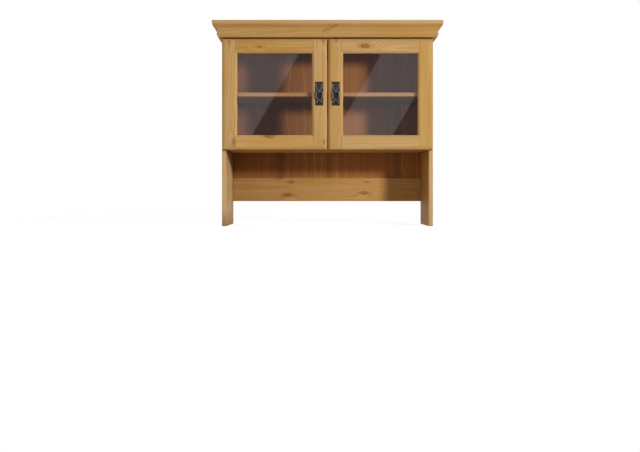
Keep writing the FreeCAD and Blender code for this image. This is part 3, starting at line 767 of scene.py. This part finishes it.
def plate_outline(node, half_u, half_v, centre):
    """The plate's half width at a height, and its half height at a width, read from its solid."""
    points = np.array([vertex.co[:] for vertex in nodes[node].data.vertices])
    u = np.abs(points[:, 0] - centre[0]) / millimetre
    v = (points[:, 2] - centre[2]) / millimetre
    share_u, share_v = u / half_u, v / half_v
    rim = np.maximum(share_u, np.abs(share_v)) > plate_outline_share
    side = rim & (share_u >= np.abs(share_v))
    end = rim & (share_v >= share_u)
    by_height = np.argsort(v[side])
    by_width = np.argsort(u[end])
    side_v, side_u = v[side][by_height], u[side][by_height]
    end_u, end_v = u[end][by_width], v[end][by_width]

    def width_at(height):
        return np.interp(height, side_v, side_u)

    def height_at(width):
        return np.interp(width, end_u, end_v)

    return width_at, height_at


def piece_from(form, name, material):
    """New piece with the form's mesh, its faces turned outwards."""
    bmesh.ops.recalc_face_normals(form, faces=form.faces)
    mesh = bpy.data.meshes.new(name)
    form.to_mesh(mesh)
    form.free()
    mesh.materials.append(material)
    piece = bpy.data.objects.new(name, mesh)
    bpy.context.collection.objects.link(piece)
    return piece


def cast_plate(side):
    """Closed casting with a modelled front in place of one plain plate."""
    node = side + "handle_plate"
    lowest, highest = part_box(node)
    centre = (lowest + highest) / 2
    half_u = (highest.x - lowest.x) / 2 / millimetre
    half_v = (highest.z - lowest.z) / 2 / millimetre
    width_at, height_at = plate_outline(node, half_u, half_v, centre)
    s, t = np.meshgrid(np.linspace(-1, 1, plate_columns), np.linspace(-1, 1, plate_rows))
    s, t = s.ravel(), t.ravel()
    u = s * width_at(t * half_v)
    v = t * height_at(np.abs(s) * half_u)
    edge = np.minimum((1 - np.abs(s)) * half_u, (1 - np.abs(t)) * half_v)
    height = relief_height(u, v, edge)

    form = bmesh.new()
    front = []
    for a, b, h in zip(u * millimetre, v * millimetre, height * millimetre):
        front.append(form.verts.new((centre.x + a, highest.y - h, centre.z + b)))
    for row in range(plate_rows - 1):
        for column in range(plate_columns - 1):
            first = row * plate_columns + column
            corners = (first, first + 1, first + plate_columns + 1, first + plate_columns)
            form.faces.new([front[i] for i in corners]).smooth = True
    last = plate_columns * (plate_rows - 1)
    rim = list(range(plate_columns))
    rim += [row * plate_columns + plate_columns - 1 for row in range(1, plate_rows)]
    rim += list(range(last + plate_columns - 2, last - 1, -1))
    rim += [row * plate_columns for row in range(plate_rows - 2, 0, -1)]
    back = [form.verts.new((front[i].co.x, highest.y, front[i].co.z)) for i in rim]
    for i, outer in enumerate(rim):
        after = (i + 1) % len(rim)
        form.faces.new((front[rim[after]], front[outer], back[i], back[after]))
    form.faces.new(back)
    piece = piece_from(form, side + "cast_plate", bronze_finish)
    relief = piece.data.attributes.new("relief", "FLOAT", "POINT")
    shares = (height - plate_field) / (plate_crest - plate_field)
    values = np.concatenate([shares, np.zeros(len(back))])
    relief.data.foreach_set("value", values.astype(np.float32))
    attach(piece, side + "door")
    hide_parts(node)


# Small nails and pins

def circle(radius, corners):
    """Corners of a regular polygon round the origin."""
    turns = [2 * math.pi * i / corners for i in range(corners)]
    return [(radius * math.cos(turn), radius * math.sin(turn)) for turn in turns]


def pin_heads(name, body, places, outward, radius, rise):
    """Low domed heads with a struck flat, one at each place."""
    form = bmesh.new()
    for x, y, z in places:
        rings = [[form.verts.new((x + across, y + outward * rise * lift, z + up))
                  for across, up in circle(radius * share, head_corners)]
                 for share, lift in head_levels]
        for lower, upper in zip(rings, rings[1:]):
            for i in range(head_corners):
                after = (i + 1) % head_corners
                form.faces.new((lower[i], lower[after], upper[after], upper[i])).smooth = True
        form.faces.new(rings[-1])
        form.faces.new(rings[0])
    piece = piece_from(form, name, zinc_finish)
    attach(piece, body)


def spaced(start, end, spacing):
    """Evenly spaced values from start to end, about the given spacing apart."""
    count = max(1, round(abs(end - start) / spacing))
    return [start + (end - start) * i / count for i in range(count + 1)]


def back_nails():
    """Nails of the plywood: into both sides, the back rail and the bottom panel."""
    lowest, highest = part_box("back_panel")
    rail_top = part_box("back_rail")[1].z
    bottom_low, bottom_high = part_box("bottom_panel")
    side_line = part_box("left_side_panel")[0].x + nail_inset
    rail_line = (lowest.z + rail_top) / 2
    bottom_line = (bottom_low.z + bottom_high.z) / 2
    places = []
    for z in spaced(rail_line, highest.z - nail_spacing / 4, nail_spacing):
        places += [(side_line, highest.y, z), (-side_line, highest.y, z)]
    for line in (rail_line, bottom_line):
        places += [(x, highest.y, line) for x in spaced(side_line, -side_line, nail_spacing)[1:-1]]
    pin_heads("back_nails", "carcass", places, 1, nail_radius, nail_rise)


def bead_pins(side):
    """Small pins along the four beads of one door, on its inside."""
    lowest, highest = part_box(side + "glass_beads")
    columns = (lowest.x + bead_pin_inset, highest.x - bead_pin_inset)
    rows = (lowest.z + bead_pin_inset, highest.z - bead_pin_inset)
    places = [(x, highest.y, z) for z in rows for x in spaced(*columns, nail_spacing)]
    places += [(x, highest.y, z) for x in columns for z in spaced(*rows, nail_spacing)[1:-1]]
    pin_heads(side + "bead_pins", side + "door", places, 1, bead_pin_radius, bead_pin_rise)


for side in ("left_", "right_"):
    cast_plate(side)
    bead_pins(side)
back_nails()


# Floor, reflections, lamps and camera

def stage_mesh(name, corners, material):
    """Flat stage piece from its corners."""
    mesh = bpy.data.meshes.new(name)
    mesh.from_pydata(corners, [], [list(range(len(corners)))])
    mesh.materials.append(material)
    piece = bpy.data.objects.new(name, mesh)
    bpy.context.collection.objects.link(piece)
    return piece


def seen_directly(tree):
    """1 for what the camera sees, also in or through glass, and 0 for light on the object."""
    path = tree.add("LightPath").outputs
    mirrored = tree.math("MAXIMUM", path["Is Glossy Ray"], path["Is Transmission Ray"])
    first = tree.math("LESS_THAN", path["Diffuse Depth"], 0.5)
    return tree.math("MAXIMUM", path["Is Camera Ray"], tree.math("MULTIPLY", mirrored, first))


def bare_material(name):
    """Material without any nodes, and the helper that adds to its tree."""
    material = bpy.data.materials.new(name)
    material.use_nodes = True
    material.node_tree.nodes.clear()
    return material, Tree(material.node_tree)


def floor_material():
    """Pale floor: it throws light back, keeps a faint shadow and fades into the background."""
    material, tree = bare_material("floor")
    seen = seen_directly(tree)
    pale = tree.math("MULTIPLY_ADD", seen, floor_seen - floor_albedo, floor_albedo)
    diffuse = tree.add("BsdfDiffuse", {"Color": tree.combine(pale, pale, pale)})
    glow = tree.add("Emission", {"Strength": tree.math("MULTIPLY", seen, floor_glow)})
    both = tree.add("AddShader")
    tree.put(both.inputs[0], diffuse.outputs[0])
    tree.put(both.inputs[1], glow.outputs[0])
    centre_distance = tree.vector("LENGTH", tree.add("TexCoord").outputs["Object"])
    fade = tree.smooth(centre_distance, floor_fade_start, floor_radius)
    fading = tree.add("MixShader", {"Fac": fade})
    tree.put(fading.inputs[1], both.outputs[0])
    tree.put(fading.inputs[2], tree.add("BsdfTransparent").outputs[0])
    tree.put(tree.add("OutputMaterial").inputs["Surface"], fading.outputs[0])
    return material


def glow_material(name, colour):
    """Even glow of one colour."""
    material, tree = bare_material(name)
    light = tree.add("Emission", {"Color": colour})
    tree.put(tree.add("OutputMaterial").inputs["Surface"], light.outputs[0])
    return material


def only_reflected(piece):
    """A stage piece that shows in reflections alone, also in those of a pane's far side."""
    piece.visible_camera = False
    piece.visible_diffuse = False
    piece.visible_volume_scatter = False
    piece.visible_shadow = False


def make_floor():
    corners = [(x, y, 0) for x, y in circle(floor_radius, floor_corners)]
    stage_mesh("floor", corners, floor_material())


def make_reflections():
    """Wall and slanted panels of light behind the camera, which only the panes and metals show."""
    (left, right), (foot, head) = wall_span
    y = -wall_distance
    wall = [(left, y, foot), (right, y, foot), (right, y, head), (left, y, head)]
    only_reflected(stage_mesh("dark_wall", wall, glow_material("dark_wall", wall_colour)))
    light = glow_material("light_panel", panel_colour)
    y = -panel_distance
    for number, (left, right) in enumerate(panel_edges, 1):
        foot_lean, head_lean = [(z - panel_edge_height) * panel_slant for z in panel_span]
        foot, head = panel_span
        corners = [(left + foot_lean, y, foot), (right + foot_lean, y, foot),
                   (right + head_lean, y, head), (left + head_lean, y, head)]
        only_reflected(stage_mesh(f"light_panel_{number}", corners, light))


def make_world():
    """White to the camera, and the even and broad fills to the object."""
    world = bpy.data.worlds.new("studio")
    bpy.context.scene.world = world
    world.use_nodes = True
    tree = Tree(world.node_tree)
    background = world.node_tree.nodes["Background"]
    background.inputs["Color"].default_value = (1, 1, 1, 1)
    direction = tree.add("TexCoord").outputs["Generated"]
    fill = fill_even
    for source, strength in ((fill_from, fill_front), (fill_rear_from, fill_rear)):
        towards = tree.math("MAXIMUM", tree.vector("DOT_PRODUCT", direction, source), 0.0)
        fill = tree.math("MULTIPLY_ADD", tree.math("POWER", towards, fill_spread), strength, fill)
    seen = seen_directly(tree)
    white = tree.math("MULTIPLY_ADD", seen, tree.math("SUBTRACT", 1.0, fill), fill)
    tree.put(background.inputs["Strength"], white)


def make_key():
    """Small soft lamp with the same strength near and far."""
    lamp = bpy.data.lights.new("key", "POINT")
    lamp.energy = key_power
    lamp.shadow_soft_size = key_radius
    lamp.use_nodes = True
    tree = Tree(lamp.node_tree)
    even = tree.add("LightFalloff", {"Strength": 1.0}).outputs["Constant"]
    tree.put(lamp.node_tree.nodes["Emission"].inputs["Strength"], even)
    piece = bpy.data.objects.new("key", lamp)
    piece.location = key_place
    bpy.context.collection.objects.link(piece)


def make_camera():
    """Level camera whose axis meets the picture at its own row and column."""
    data = bpy.data.cameras.new("camera")
    data.sensor_width = sensor_width
    data.lens = focal_pixels / picture_width * sensor_width
    data.shift_x = (picture_width / 2 - axis_column) / picture_width
    data.shift_y = (axis_row - picture_height / 2) / picture_width
    camera = bpy.data.objects.new("camera", data)
    camera.location = camera_place
    camera.rotation_euler = (math.pi / 2, 0, 0)
    bpy.context.collection.objects.link(camera)
    bpy.context.scene.camera = camera


make_floor()
make_reflections()
make_world()
make_key()
make_camera()
bpy.context.scene.view_settings.view_transform = "Standard"
